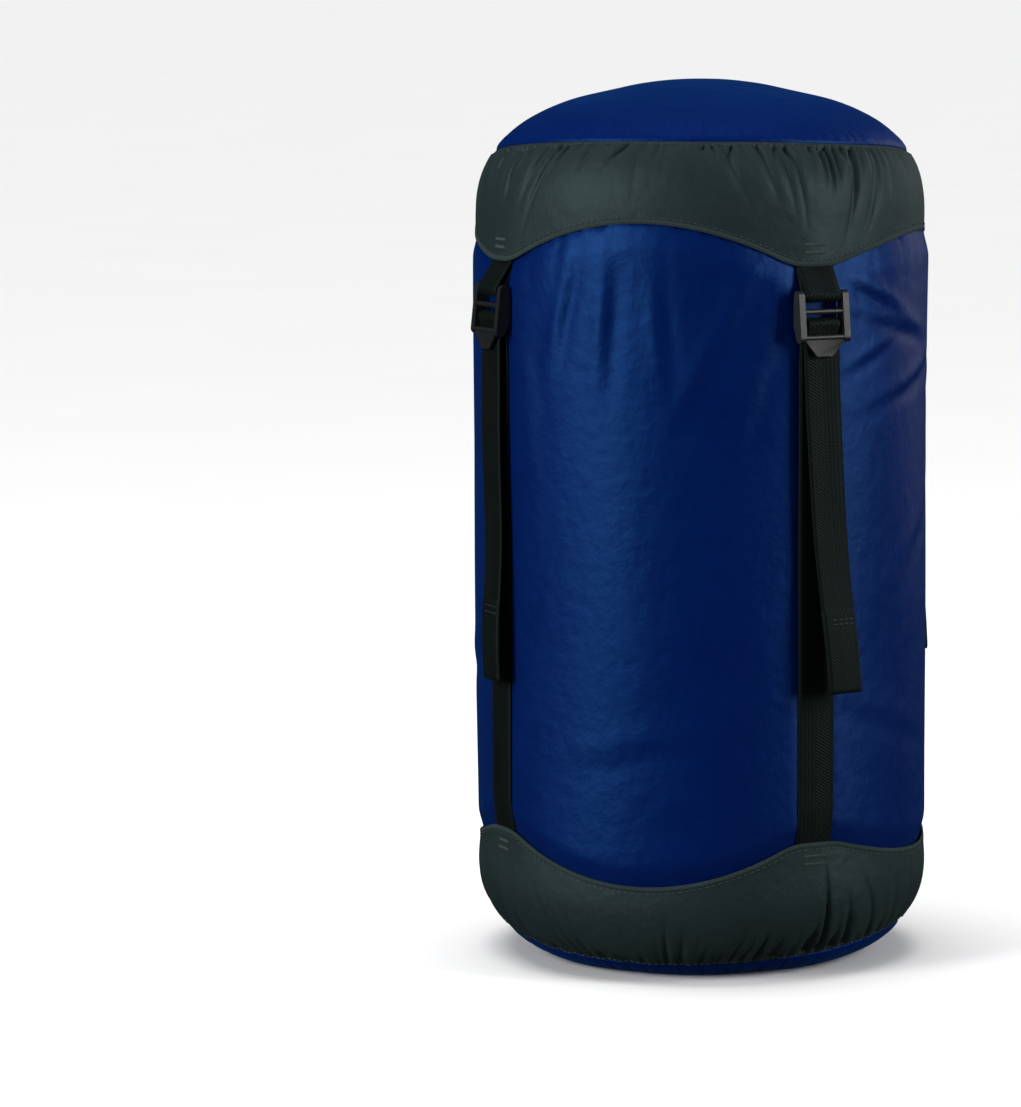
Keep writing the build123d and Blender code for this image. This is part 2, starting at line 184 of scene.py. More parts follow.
def smooth_line(points, count):
    """Evenly spaced points on a smooth curve through the given points."""
    knots = np.array(points, float)
    ends = np.vstack([2 * knots[0] - knots[1], knots, 2 * knots[-1] - knots[-2]])
    t = np.linspace(0, 1, 24, endpoint=False)[:, None]
    spans = [0.5 * (2 * b + (c - a) * t + (2 * a - 5 * b + 4 * c - d) * t ** 2
                    + (3 * b - a - 3 * c + d) * t ** 3)
             for a, b, c, d in zip(ends, ends[1:], ends[2:], ends[3:])]
    fine = np.vstack([*spans, knots[-1:]])
    run = run_along(fine)
    even = np.linspace(0, run[-1], count)
    return np.column_stack([np.interp(even, run, fine[:, k]) for k in range(knots.shape[1])])


def outward(phi):
    """Unit vectors pointing out from the axis at angle phi from the front, towards the right."""
    return np.stack([np.sin(phi), -np.cos(phi), np.zeros_like(phi)], -1)


def round_spots(phi, radius, height):
    """Points at angle phi round the axis."""
    phi, radius, height = np.broadcast_arrays(phi, radius, height)
    spots = outward(phi) * radius[..., None]
    spots[..., 2] = height
    return spots


def slouch(phi, z):
    """Slow unevenness of a soft filled sack, in metres along the radius."""
    waves = ((2, 7.0, 0.6, 0.45), (3, -11.0, 2.1, 0.35), (5, 17.0, 4.0, 0.26), (4, 31.0, 1.2, 0.20),
             (7, -23.0, 0.3, 0.14))
    return MM * sum(size * np.sin(m * phi + k * z + start) for m, k, start, size in waves)


class Folds:
    """Random fold lines round a circle, each with its place, width, depth and length."""

    def __init__(self, seed, count, narrow, wide):
        rng = np.random.RandomState(seed)
        spacing = math.tau / count
        self.centre = (np.arange(count) + rng.uniform(-0.42, 0.42, count)) * spacing
        self.width = rng.uniform(narrow, wide, count)
        self.depth = rng.uniform(0.15, 1.0, count) ** 1.3
        self.length = rng.uniform(0.22, 1.0, count) ** 1.2

    def depth_at(self, phi, t, favour):
        """Depth from 0 to about 1 at angle phi, a share t of the way along the folds."""
        total = np.zeros(np.broadcast(phi, t).shape)
        for centre, width, depth, length in zip(self.centre, self.width, self.depth, self.length):
            gap = angle_gap(phi, centre)
            near = np.exp(-np.abs(gap / width) ** 1.25)
            total += favour(centre) * depth * near * (1 - smoothstep(t, 0.25 * length, length))
        return total


def from_station(phi):
    """Angle from the nearest strap, as a share of the half space between two straps."""
    return (np.mod(phi, math.pi / 2) - math.pi / 4) / (math.pi / 4)


def near_strap(phi):
    """How strongly a strap pulls at this angle."""
    return 0.35 + 0.65 * np.cos(from_station(phi) * math.pi / 2) ** 2


class Cap:
    """One end of the sack: a round shell from its middle out to a wavy hem."""
    CHORD = TUBE_RADIUS / math.sqrt(2) - 9.0 * MM

    def __init__(self, points, up, turn, point_z, front_arch, side_arch, seed):
        self.line = smooth_line(points, 500)
        self.length = np.linalg.norm(np.diff(self.line, axis=0), axis=1).sum()
        self.share = np.linspace(0, 1, len(self.line))
        slope = direction_along(self.line)
        self.up = up
        self.normal = up * np.column_stack([-slope[:, 1], slope[:, 0]])
        self.turn = turn
        self.point_z = point_z
        self.front_arch = front_arch
        self.side_arch = side_arch
        sizes = bpy.context.scene.sack_sizes
        self.gathers = Folds(seed, sizes.gather_count, 0.010, 0.024)
        self.puckers = Folds(seed + 1, 2 * sizes.gather_count, 0.007, 0.013)
        self.dimples = Folds(seed + 2, 26, 0.010, 0.016)

    def seam_radius(self, phi):
        """Edge of the lens panel: two arcs that meet in a point at each side."""
        arc = (LENS_TIP ** 2 + LENS_SIDE ** 2) / (2 * LENS_SIDE)
        shift = arc - LENS_SIDE
        across = np.abs(np.sin(phi - math.pi / 2 - self.turn))
        return -shift * across + np.sqrt((shift * across) ** 2 + arc ** 2 - shift ** 2)

    def hem_height(self, phi):
        """Height of the hem: four blunt points joined by arches."""
        spread = np.radians(np.linspace(-3.0, 3.0, 7))
        return sum(self.sharp_hem(phi + step) for step in spread) / len(spread)

    def sharp_hem(self, phi):
        """The hem before its corners are eased."""
        rise = np.zeros_like(phi)
        for place, arch in ((np.sin(phi), self.front_arch), (np.cos(phi), self.side_arch)):
            x = np.minimum(np.abs(place) * TUBE_RADIUS, self.CHORD)
            radius = (self.CHORD ** 2 + arch ** 2) / (2 * abs(arch))
            rise += math.copysign(1, arch) * (np.sqrt(radius ** 2 - x ** 2) - radius + abs(arch))
        return self.point_z + rise

    def share_at_seam(self, phi):
        return np.interp(self.seam_radius(phi), self.line[:, 0], self.share)

    def share_at_height(self, z):
        return np.interp(-self.up * z, -self.up * self.line[:, 1], self.share)

    def radius_at_height(self, z):
        return np.interp(self.share_at_height(z), self.share, self.line[:, 0])

    def place(self, phi, share, lift):
        """Points on the cap, lifted off it along its outward normal."""
        phi, share, lift = np.broadcast_arrays(phi, share, lift)
        r, z = (np.interp(share, self.share, self.line[:, k]) for k in range(2))
        nr, nz = (np.interp(share, self.share, self.normal[:, k]) for k in range(2))
        lift = lift + slouch(phi, z) * smoothstep(r, 0.3 * TUBE_RADIUS, TUBE_RADIUS)
        height = z + nz * lift
        return round_spots(phi, r + nr * lift, height if self.up > 0 else np.maximum(height, 0.0))

    def band_lift(self, phi, t):
        """Gathers that start at the lens seam and close in on the nearest hem point."""
        sizes = bpy.context.scene.sack_sizes
        u = from_station(phi)
        fan = 1 - 0.62 * t * np.cos(u * math.pi / 2) ** 2
        seam_phi = phi + u * (math.pi / 4) * (1 / fan - 1)
        reach = (self.share_at_height(self.hem_height(phi)) - self.share_at_seam(phi)) * self.length
        run = t * reach
        gathers = self.gathers.depth_at(seam_phi, t, near_strap)
        gathers += 0.30 * self.puckers.depth_at(seam_phi + 0.06 * t, 2.6 * t, near_strap)
        gathers += 0.7 * self.dimples.depth_at(seam_phi + 0.25 * t, 2.2 * t, lambda centre: 1.0)
        lift = 1.3 * MM * np.sin(math.pi * np.clip(t, 0, 1)) ** 0.8
        lift -= sizes.gather_depth * gathers * smoothstep(run, 0.3 * MM, 4 * MM)
        lift += 0.5 * MM * np.sin(9 * seam_phi + 3 * self.turn) * smoothstep(t, 0.1, 0.6)
        return lift - sizes.seam_tuck * np.exp(-(np.clip(run, 0, 1) / (1.7 * MM)) ** 2)

    def lens_lift(self, phi, q):
        """Small puckers along the edge of a lens panel; q is 0 at the seam and 1 in the middle."""
        sizes = bpy.context.scene.sack_sizes
        run = q * self.share_at_seam(phi) * self.length
        pucker = self.puckers.depth_at(phi, run / (22 * MM), lambda centre: 0.7)
        pull = np.exp(-(run / (30 * MM)) ** 2)
        ripple = np.sin(5 * phi + 60 * run) * np.sin(3 * phi - 45 * run + 1.0)
        pucker *= smoothstep(run, 0.3 * MM, 4 * MM)
        lift = -0.28 * sizes.gather_depth * pucker + 0.7 * MM * (1 - pull)
        lift += 0.5 * MM * ripple * smoothstep(run, 0.0, 25 * MM) * (1 - smoothstep(q, 0.4, 0.95))
        return lift - sizes.seam_tuck * np.exp(-(run / (1.7 * MM)) ** 2)


def lid_line():
    """The lid's outline from the middle of the dome to below the hem, as radius and height."""
    drops = ((0, 0), (13, 0.45), (26, 1.85), (40, 4.4), (66, 10.7), (88, 20.2), (100.5, 29), (107, 37),
             (111.2, 47), (113.6, 59), (114.8, 73), (116.2, 89), (116.6, 96))
    return [(r * MM, TOP - drop * MM) for r, drop in drops]


def base_line():
    """The base's outline from the middle of the underside to above the hem."""
    width, height = 40.3 * MM, 48.0 * MM
    flat = BASE_RADIUS - width
    corner = [(flat + width * math.sin(a), height - height * math.cos(a))
              for a in np.linspace(0, math.pi / 2, 9)]
    wall = [(BASE_RADIUS, height + step * MM) for step in (10, 20, 32)]
    return [(0, 0), (0.5 * flat, 0), *corner, *wall]


def make_caps():
    """The base and lid shapes, from the sizes in the scene."""
    seed = bpy.context.scene.sack_sizes.seed
    base = Cap(base_line(), -1, 0.0, BASE_POINT, -20.8 * MM, -12.7 * MM, seed)
    lid = Cap(lid_line(), 1, math.radians(14.0), LID_POINT, 21.7 * MM, 14.0 * MM, seed + 10)
    return base, lid


# Long soft creases of the tube: angle from the front, height, half length, half width,
# slant from level and depth.
CREASES = ((66, 0.345, 26, 4.5, -24, 2.2), (76, 0.330, 30, 4.5, -12, 2.0), (80, 0.300, 34, 5, 14, 1.7),
           (64, 0.318, 22, 4, 22, 1.5), (-20, 0.340, 26, 5, 78, 1.6), (-8, 0.335, 30, 6, 86, 1.7),
           (6, 0.330, 24, 5, 95, 1.3), (20, 0.322, 40, 7, 62, 1.3), (30, 0.300, 46, 7, 72, 0.8),
           (-30, 0.300, 40, 8, 96, 0.6), (0, 0.120, 40, 9, 12, 0.6), (70, 0.130, 36, 7, -18, 0.8),
           (85, 0.220, 40, 8, 40, 0.7), (120, 0.310, 34, 6, 20, 1.0), (150, 0.250, 44, 8, 70, 0.8),
           (180, 0.330, 36, 6, 88, 0.9), (205, 0.180, 40, 8, -15, 0.8), (250, 0.300, 38, 6, -30, 1.1),
           (285, 0.150, 40, 8, 25, 0.8), (300, 0.330, 30, 5, 84, 0.8), (270, 0.220, 44, 9, 60, 0.6))


def tube_radius(base, lid, phi, z):
    """Radius of the tube: full between the hems, tucked in under them and under the straps."""
    phi, z = np.broadcast_arrays(phi, z)
    above_base = z - base.hem_height(phi)
    below_lid = lid.hem_height(phi) - z
    r = TUBE_RADIUS + slouch(phi, z)
    r = r - 2.7 * MM * (1 - smoothstep(above_base, -2 * MM, 12 * MM))
    r = r - 3.0 * MM * (1 - smoothstep(below_lid, -2 * MM, 14 * MM))
    for past_hem, cap in ((-below_lid, lid), (-above_base, base)):
        deeper = 5.0 * MM * smoothstep(past_hem, 3 * MM, 15 * MM)
        inside = cap.radius_at_height(z) - 2.0 * MM - deeper + slouch(phi, z)
        r = np.where(past_hem > 0, np.minimum(r, inside), r)
    arc = from_station(phi) * (math.pi / 4) * TUBE_RADIUS
    return r - 1.5 * MM * np.exp(-(arc / (10.5 * MM)) ** 4)


def tube_creases(base, lid, phi, z):
    """Creases of the tube, which are left out under the caps and the straps."""
    sizes = bpy.context.scene.sack_sizes
    above_base = z - base.hem_height(phi)
    below_lid = lid.hem_height(phi) - z
    fine = Folds(sizes.seed + 20, 64, 0.016, 0.040)
    drop = 0.85 * MM * fine.depth_at(phi, np.clip(below_lid, 0, 1) / 0.075, near_strap)
    low = Folds(sizes.seed + 21, 56, 0.016, 0.034)
    drop = drop + 0.6 * MM * low.depth_at(phi, np.clip(above_base, 0, 1) / 0.045, near_strap)
    lift = -drop
    for angle, height, half_length, half_width, slant, depth in CREASES:
        gap = angle_gap(phi, math.radians(angle))
        along_x, along_z = math.cos(math.radians(slant)), math.sin(math.radians(slant))
        along = gap * TUBE_RADIUS * along_x + (z - height) * along_z
        across = (-gap * TUBE_RADIUS * along_z + (z - height) * along_x) / (half_width * MM)
        fade = np.exp(-(along / (half_length * MM)) ** 2 - across ** 2)
        lift = lift + 1.5 * depth * MM * across * fade
    free = smoothstep(above_base, 1 * MM, 10 * MM) * smoothstep(below_lid, 1 * MM, 7 * MM)
    arc = np.abs(from_station(phi)) * (math.pi / 4) * TUBE_RADIUS
    return lift * free * smoothstep(arc, 9 * MM, 15 * MM)


# ---- meshes ----
def new_piece(mesh, slot):
    """An object at the origin, named after its mesh, with its finish and its material slot."""
    piece = bpy.data.objects.new(mesh.name, mesh)
    bpy.context.scene.collection.objects.link(piece)
    mesh.materials.append(finish_named(slot))
    mesh.shade_smooth()
    return piece


def chart_of(u, v):
    """UV places in metres, over rows and columns."""
    return np.stack(np.broadcast_arrays(u, v), -1)


def grid_mesh(name, spots, chart, wrap=False, flip=False, pole=None):
    """A mesh over rows and columns of points; chart holds UV places with one column more."""
    rows, cols = spots.shape[:2]
    i, j = np.meshgrid(np.arange(rows - 1), np.arange(cols if wrap else cols - 1), indexing="ij")
    i, j = i.ravel(), j.ravel()
    corners = [(i, j), (i, j + 1), (i + 1, j + 1), (i + 1, j)]
    if flip:
        corners.reverse()
    faces = np.stack([a * cols + b % cols for a, b in corners], 1).tolist()
    uv = np.stack([chart[a, b] for a, b in corners], 1).reshape(-1, 2)
    points = spots.reshape(-1, 3)
    if pole is not None:
        last = (rows - 1) * cols
        middle = len(points)
        points = np.vstack([points, pole])
        j = np.arange(cols)
        fan = np.stack([last + j, last + (j + 1) % cols, np.full(cols, middle)], 1)
        fan_uv = np.stack([chart[-1, j], chart[-1, j + 1], chart[-1, j] * [1, 0] + [0, 1e-4]], 1)
        if flip:
            fan, fan_uv = fan[:, ::-1], fan_uv[:, ::-1]
        faces += fan.tolist()
        uv = np.vstack([uv, fan_uv.reshape(-1, 2)])
    mesh = bpy.data.meshes.new(name)
    mesh.from_pydata(points.tolist(), [], faces)
    layer = mesh.uv_layers.new(name="UVMap")
    layer.data.foreach_set("uv", uv.astype(np.float32).ravel())
    mesh.update()
    return mesh


def thicken(piece, thickness):
    """Give a fabric surface its wall, on the inner side."""
    wall = piece.modifiers.new("wall", "SOLIDIFY")
    wall.thickness = thickness
    wall.offset = -1.0


def mended(mesh, fill):
    """Fill a mesh's open ends, or else join its doubled edge, and turn its faces outward."""
    work = bmesh.new()
    work.from_mesh(mesh)
    if fill:
        bmesh.ops.holes_fill(work, edges=[e for e in work.edges if e.is_boundary])
    else:
        bmesh.ops.remove_doubles(work, verts=work.verts, dist=0.000001)
    bmesh.ops.recalc_face_normals(work, faces=work.faces)
    work.to_mesh(mesh)
    work.free()
    return mesh


def closed_ring(name, spots, chart):
    """A mesh over rows of points, with its last row joined to its first."""
    closed = np.concatenate([spots, spots[:1]])
    return mended(grid_mesh(name, closed, chart, wrap=True), fill=False)


def webbing_mesh(name, angle, path, count, drift=0.0, twist=0.0, doubled=0.0):
    """Flat webbing along a smooth path of (reach from the tube, height) at one station."""
    sizes = bpy.context.scene.sack_sizes
    line = smooth_line(path, count)
    slope = direction_along(line)
    run = run_along(line)
    share = run / run[-1]
    half = np.full(count, sizes.webbing_thick / 2)
    if doubled:
        from_end = run[-1] - run
        half += (sizes.webbing_thick / 2 + 0.1 * MM) * smoothstep(-from_end, -doubled - 0.7 * MM, -doubled)
        half *= np.sqrt(np.clip(from_end / (1.6 * MM), 0.12, 1.0))
    a = np.linspace(-1, 1, FACE_POINTS)
    edge = 1 - 0.45 * np.abs(a) ** 10
    across = np.r_[a, a[::-1]] * sizes.webbing / 2
    face = np.r_[edge, -edge[::-1]]
    phi = math.radians(angle)
    out = np.array([math.sin(phi), -math.cos(phi), 0.0])
    side = np.array([math.cos(phi), math.sin(phi), 0.0])
    turn = twist * smoothstep(share, 0.0, 1.0)
    offset = drift * share ** 1.4
    flat = across[None, :] * np.cos(turn)[:, None] - (face[None, :] * half[:, None]) * np.sin(turn)[:, None]
    raised = across[None, :] * np.sin(turn)[:, None] + (face[None, :] * half[:, None]) * np.cos(turn)[:, None]
    reach = line[:, :1] + raised * slope[:, 1:]
    height = line[:, 1:] - raised * slope[:, :1]
    spots = ((TUBE_RADIUS + reach)[..., None] * out + (flat + offset[:, None])[..., None] * side
             + height[..., None] * np.array([0.0, 0.0, 1.0]))
    columns = np.r_[across, across[:1]]
    chart = chart_of(columns[None, :], run[:, None])
    return mended(grid_mesh(name, spots, chart, wrap=True), fill=True)


# ---- finishes ----
class Reading:
    """A shader socket that can be used in sums, so that shader maths reads as maths."""

    def __init__(self, finish, socket):
        self.finish = finish
        self.socket = socket

    def maths(self, operation, *values):
        return self.finish.node("ShaderNodeMath", {"operation": operation}, *values)

    def __add__(self, other):
        return self.maths("ADD", self, other)

    def __sub__(self, other):
        return self.maths("SUBTRACT", self, other)

    def __rsub__(self, other):
        return self.maths("SUBTRACT", other, self)

    def __mul__(self, other):
        return self.maths("MULTIPLY", self, other)

    def __pow__(self, other):
        return self.maths("POWER", self, other)

    def __gt__(self, other):
        return self.maths("GREATER_THAN", self, other)

    def __lt__(self, other):
        return self.maths("LESS_THAN", self, other)

    __radd__ = __add__
    __rmul__ = __mul__

    def wave(self, period):
        """A sine of this reading, from -1 to 1, that repeats over the period."""
        return self.maths("SINE", self * (math.tau / period))

    def size(self):
        return self.maths("ABSOLUTE", self)


class Finish:
    """A material with one principled shader and a method that makes every other node."""

    def __init__(self, name, **constants):
        self.material = bpy.data.materials.new(name)
        self.material.use_nodes = True
        self.tree = self.material.node_tree
        self.shader = next(n for n in self.tree.nodes if n.type == "BSDF_PRINCIPLED")
        for socket, value in constants.items():
            self.shader.inputs[socket.replace("_", " ").title().replace("Ior", "IOR")].default_value = value

    def node(self, kind, settings, *values, output=0, **named):
        """Make a node: settings first, then its sockets by order or by name."""
        node = self.tree.nodes.new(kind)
        for key, value in settings.items():
            setattr(node, key, value)
        pairs = [(node.inputs[n], value) for n, value in enumerate(values) if value is not None]
        pairs += [(node.inputs[key.replace("_", " ")], value) for key, value in named.items()]
        for socket, value in pairs:
            if isinstance(value, Reading):
                self.tree.links.new(value.socket, socket)
            else:
                socket.default_value = value
        return Reading(self, node.outputs[output])

    def chart(self):
        """The two UV readings, in metres."""
        uv = self.node("ShaderNodeTexCoord", {}, output="UV")
        return (self.node("ShaderNodeSeparateXYZ", {}, uv, output="X"),
                self.node("ShaderNodeSeparateXYZ", {}, uv, output="Y"))

    def noise(self, scale, detail):
        """Noise over the object's own coordinates."""
        coords = self.node("ShaderNodeTexCoord", {}, output="Object")
        return self.node("ShaderNodeTexNoise", {}, Vector=coords, Scale=scale, Detail=detail, output="Fac")

    def mix(self, factor, low, high):
        """Mix two colours."""
        return self.node("ShaderNodeMix", {"data_type": "RGBA"}, factor, None, None, None, None, None,
                         opaque(low), opaque(high), output=2)

    def bump(self, height, distance, strength, normal=None):
        named = {"Strength": strength, "Distance": distance, "Height": height}
        if normal is not None:
            named["Normal"] = normal
        return self.node("ShaderNodeBump", {}, **named)

    def feed(self, **readings):
        """Link readings to the shader's sockets."""
        for socket, reading in readings.items():
            self.tree.links.new(reading.socket, self.shader.inputs[socket.replace("_", " ")])
        return self.material


def opaque(colour):
    """A colour with its alpha, unless it is a reading already."""
    return colour if isinstance(colour, Reading) else (*colour[:3], 1.0)


def coated_nylon(name, colour, deep, gloss, thread, roughness, crinkle, sheen):
    """Plain-weave nylon: fine threads, small crinkles, cloudy colour and worn high spots."""
    finish = Finish(name, sheen_weight=sheen, sheen_roughness=0.42, specular_ior_level=0.45,
                    sheen_tint=opaque(gloss), specular_tint=opaque(gloss))
    u, v = finish.chart()
    weave = u.wave(thread) * v.wave(thread) * 0.5 + 0.5
    rib = (u.wave(12 * thread).size() ** 14 + v.wave(12 * thread).size() ** 14) * 0.5
    cloud = finish.noise(26.0, 4.0)
    grain = finish.noise(420.0, 2.0)
    rumple = finish.noise(120.0, 5.0)
    tone = cloud * 0.75 + grain * 0.25 + rib * 0.08 - 0.06
    creased = finish.bump(rumple, crinkle, 0.55)
    woven = finish.bump(weave * 0.7 + grain * 0.3, 0.00010, 0.45, creased)
    rough = cloud * 0.16 + weave * 0.05 + (roughness - 0.09)
    return finish.feed(Base_Color=finish.mix(tone, deep, colour), Roughness=rough, Normal=woven)


def ribbed_tape(name, colour, rib, width, roughness, sheen):
    """Woven tape or webbing: cross ribs, fine chevrons, firm selvages and fuzz on the edges."""
    finish = Finish(name, sheen_weight=sheen, sheen_roughness=0.5, specular_ior_level=0.15,
                    sheen_tint=(0.55, 0.70, 0.67, 1.0), specular_tint=(0.55, 0.75, 0.70, 1.0))
    u, v = finish.chart()
    slant = (v + u.size() * 0.6).wave(rib)
    cord = u.wave(width / 9)
    weave = slant * 0.35 + cord * 0.25 + 0.5
    selvage = smooth_ramp(finish, u.size(), width * 0.40, width * 0.47)
    fuzz = finish.noise(900.0, 2.0)
    cloud = finish.noise(45.0, 3.0)
    tone = cloud * 0.5 + weave * 0.35 + selvage * 0.25
    dark = [0.55 * c for c in colour]
    light = [1.55 * c for c in colour]
    woven = finish.bump(weave * (1 - selvage * 0.6) + fuzz * 0.2, 0.00028, 0.75)
    rough = cloud * 0.14 + fuzz * 0.08 + (roughness - 0.1)
    return finish.feed(Base_Color=finish.mix(tone, dark, light), Roughness=rough, Normal=woven)


def smooth_ramp(finish, reading, low, high):
    """A reading taken smoothly from 0 at low to 1 at high."""
    return finish.node("ShaderNodeMapRange", {"interpolation_type": "SMOOTHSTEP"}, reading, low, high,
                       0.0, 1.0)


def moulded_plastic(name, colour):
    """Satin acetal: a fine spark-eroded grain, faint flow marks and rubbed patches."""
    finish = Finish(name, specular_ior_level=0.5, coat_roughness=0.35)
    grain = finish.noise(2600.0, 2.0)
    flow = finish.noise(160.0, 3.0)
    rubbed = smooth_ramp(finish, finish.noise(330.0, 4.0), 0.56, 0.72)
    light = [2.4 * c + 0.002 for c in colour]
    skin = finish.bump(grain * 0.7 + flow * 0.5, 0.00012, 0.5)
    rough = grain * 0.1 + rubbed * -0.12 + 0.40
    tone = rubbed * 0.35 + flow * 0.25
    return finish.feed(Base_Color=finish.mix(tone, colour, light), Roughness=rough, Normal=skin)


def sewing_thread(name, colour):
    """Twisted bonded thread."""
    finish = Finish(name, sheen_weight=0.05, sheen_roughness=0.4, specular_ior_level=0.3)
    twist = finish.noise(3200.0, 1.0)
    light = [1.9 * c for c in colour]
    return finish.feed(Base_Color=finish.mix(twist, colour, light), Roughness=twist * 0.2 + 0.45,
                       Normal=finish.bump(twist, 0.00010, 0.6))


def woven_label(name, ground, motif):
    """Satin label with a plain border and three level bars, read from the label's own chart."""
    finish = Finish(name, sheen_weight=0.05, sheen_roughness=0.35, specular_ior_level=0.3)
    u, v = finish.chart()
    border_u, border_v = 0.0072, 0.0146
    border = (u.size() > border_u) + (v.size() > border_v)
    bars = ((u.size() < 0.0048) * (v.size() < 0.0062)) * (v.wave(0.0041) > 0.15)
    edging = border * 0.25
    mark = edging.maths("MAXIMUM", edging, bars)
    weave = (u + v).wave(0.0005) * 0.5 + 0.5
    cloud = finish.noise(300.0, 3.0)
    return finish.feed(Base_Color=finish.mix(mark * (cloud * 0.4 + 0.7), ground, motif),
                       Roughness=weave * 0.15 + cloud * 0.1 + 0.36,
                       Normal=finish.bump(weave * 0.6 + mark * 0.8, 0.00014, 0.6))


def finish_named(slot):
    """The finish of a material slot, made once."""
    name = f"{slot}_finish"
    known = bpy.data.materials.get(name)
    if known:
        return known
    paints = bpy.context.scene.sack_colours
    makers = {
        "blue_nylon": lambda: coated_nylon(
            name, paints.blue, paints.blue_deep, gloss=(0.06, 0.34, 1.0), thread=0.00045,
            roughness=0.38, crinkle=0.0010, sheen=0.08),
        "charcoal_nylon": lambda: coated_nylon(
            name, paints.charcoal, paints.charcoal_deep, gloss=(0.28, 0.42, 0.44), thread=0.00055,
            roughness=0.50, crinkle=0.0012, sheen=0.05),
        "binding_tape": lambda: ribbed_tape(name, paints.tape, rib=0.0011, width=0.0070, roughness=0.62,
                                            sheen=0.04),
        "webbing": lambda: ribbed_tape(name, paints.webbing, rib=0.0016, width=0.020, roughness=0.56,
                                       sheen=0.015),
        "thread": lambda: sewing_thread(name, paints.thread),
        "label": lambda: woven_label(name, paints.label, paints.motif),
        "buckle_plastic": lambda: moulded_plastic(name, paints.plastic),
    }
    return makers[slot]()


# ---- stitches, repeated by a node tree ----
def stitch_tree():
    """A node tree that lays one thread along every edge of a mesh."""
    known = bpy.data.node_groups.get("stitches_along_edges")
    if known:
        return known
    tree = bpy.data.node_groups.new("stitches_along_edges", "GeometryNodeTree")
    tree.interface.new_socket("Edges", in_out="INPUT", socket_type="NodeSocketGeometry")
    thread = tree.interface.new_socket("Thread", in_out="INPUT", socket_type="NodeSocketFloat")
    thread.default_value = 0.45 * MM
    tree.interface.new_socket("Material", in_out="INPUT", socket_type="NodeSocketMaterial")
    tree.interface.new_socket("Stitches", in_out="OUTPUT", socket_type="NodeSocketGeometry")

    def node(kind, settings=None, **links):
        made = tree.nodes.new(kind)
        for key, value in (settings or {}).items():
            setattr(made, key, value)
        for key, socket in links.items():
            tree.links.new(socket, made.inputs[key.replace("_", " ")])
        return made

    given = node("NodeGroupInput").outputs
    ends = node("GeometryNodeInputMeshEdgeVertices").outputs
    run = node("ShaderNodeVectorMath", {"operation": "SUBTRACT"})
    tree.links.new(ends["Position 2"], run.inputs[0])
    tree.links.new(ends["Position 1"], run.inputs[1])
    held = tree.nodes.new("GeometryNodeCaptureAttribute")
    held.domain = "EDGE"
    held.capture_items.new("VECTOR", "Run")
    tree.links.new(given["Edges"], held.inputs[0])
    tree.links.new(run.outputs[0], held.inputs[1])
    points = node("GeometryNodeMeshToPoints", {"mode": "EDGES"}, Mesh=held.outputs[0])
    length = node("ShaderNodeVectorMath", {"operation": "LENGTH"})
    tree.links.new(held.outputs[1], length.inputs[0])
    scale = node("ShaderNodeCombineXYZ", X=length.outputs["Value"], Y=given["Thread"], Z=given["Thread"])
    turn = node("FunctionNodeAlignRotationToVector", {"axis": "X"}, Vector=held.outputs[1])
    bead = node("GeometryNodeMeshUVSphere")
    bead.inputs["Segments"].default_value = 6
    bead.inputs["Rings"].default_value = 5
    bead.inputs["Radius"].default_value = 0.5
    laid = node("GeometryNodeInstanceOnPoints", Points=points.outputs[0], Instance=bead.outputs["Mesh"],
                Rotation=turn.outputs[0], Scale=scale.outputs[0])
    real = node("GeometryNodeRealizeInstances", Geometry=laid.outputs[0])
    painted = node("GeometryNodeSetMaterial", Geometry=real.outputs[0], Material=given["Material"])
    node("NodeGroupOutput", Stitches=painted.outputs[0])
    return tree


def stitched(name, stitches):
    """One object that holds a thread along each (start, end) pair."""
    ends = np.array(stitches, float).reshape(-1, 3)
    mesh = bpy.data.meshes.new(name + "_lines")
    mesh.from_pydata(ends.tolist(), [(n, n + 1) for n in range(0, len(ends), 2)], [])
    lines = bpy.data.objects.new(name + "_lines", mesh)
    bpy.context.scene.collection.objects.link(lines)
    modifier = lines.modifiers.new("stitches", "NODES")
    modifier.node_group = stitch_tree()
    inputs = {item.name: item.identifier for item in modifier.node_group.interface.items_tree
              if item.in_out == "INPUT"}
    modifier[inputs["Thread"]] = bpy.context.scene.sack_sizes.thread
    modifier[inputs["Material"]] = finish_named("thread")
    depsgraph = bpy.context.evaluated_depsgraph_get()
    made = bpy.data.meshes.new_from_object(lines.evaluated_get(depsgraph))
    made.name = name
    bpy.data.objects.remove(lines)
    if not made.polygons:
        raise RuntimeError(f"{name}: the stitch tree gave no faces")
    piece = bpy.data.objects.new(name, made)
    bpy.context.scene.collection.objects.link(piece)
    made.shade_smooth()
    return piece


def stitches_along(spots, closed=True):
    """Stitches laid end to end along a line of points, with a gap after each."""
    sizes = bpy.context.scene.sack_sizes
    line = np.vstack([spots, spots[:1]]) if closed else np.array(spots)
    run = run_along(line)
    starts = np.arange(0, run[-1] - sizes.stitch, sizes.stitch_pitch)
    pick = [np.stack([np.interp(s, run, line[:, k]) for k in range(3)], -1)
            for s in (starts, starts + sizes.stitch)]
    return np.stack(pick, 1)


